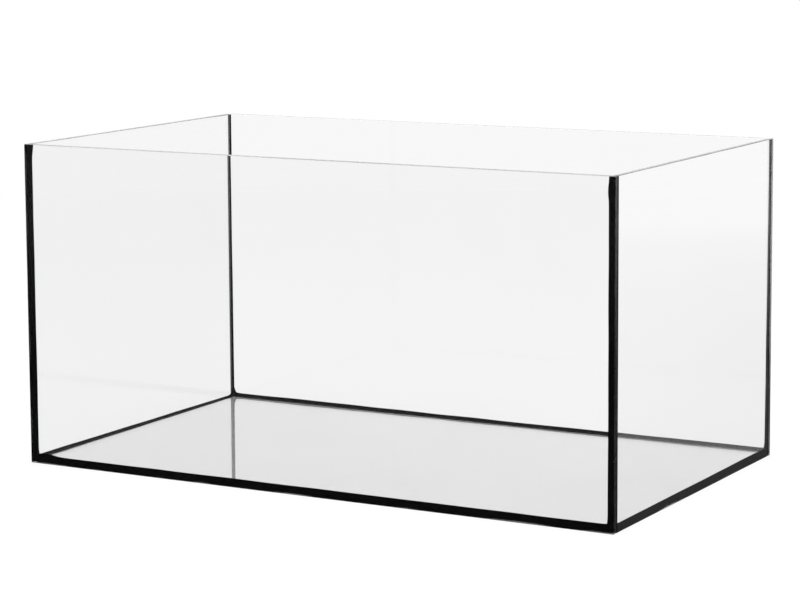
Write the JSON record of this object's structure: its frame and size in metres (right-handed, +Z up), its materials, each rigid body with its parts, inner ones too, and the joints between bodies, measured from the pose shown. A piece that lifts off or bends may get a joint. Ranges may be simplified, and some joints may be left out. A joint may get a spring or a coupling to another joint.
{
  "type": "glass aquarium",
  "caption": "Frameless rectangular glass tank, open at the top, with clear panes bonded edge to face and black silicone seams inside every corner.",
  "frame": {"origin": "centre of the underside, on the surface that the tank stands on", "axes": "+X along the width, to the right as seen from the front, +Y from front to back, +Z up"},
  "size_m": [0.6, 0.35, 0.3],
  "materials": {
    "float_glass": "clear polished float glass with ground edges",
    "black_silicone": "satin cured silicone, struck smooth"
  },
  "bodies": {
    "root": {"base_pane": "float_glass", "front_pane": "float_glass", "back_pane": "float_glass", "left_pane": "float_glass", "right_pane": "float_glass", "front_left_bond": "black_silicone", "front_right_bond": "black_silicone", "back_left_bond": "black_silicone", "back_right_bond": "black_silicone", "base_front_bond": "black_silicone", "base_back_bond": "black_silicone", "base_left_bond": "black_silicone", "base_right_bond": "black_silicone", "front_left_seal": "black_silicone", "front_right_seal": "black_silicone", "back_left_seal": "black_silicone", "back_right_seal": "black_silicone", "base_front_seal": "black_silicone", "base_back_seal": "black_silicone", "base_left_seal": "black_silicone", "base_right_seal": "black_silicone"}
  },
  "joints": []
}
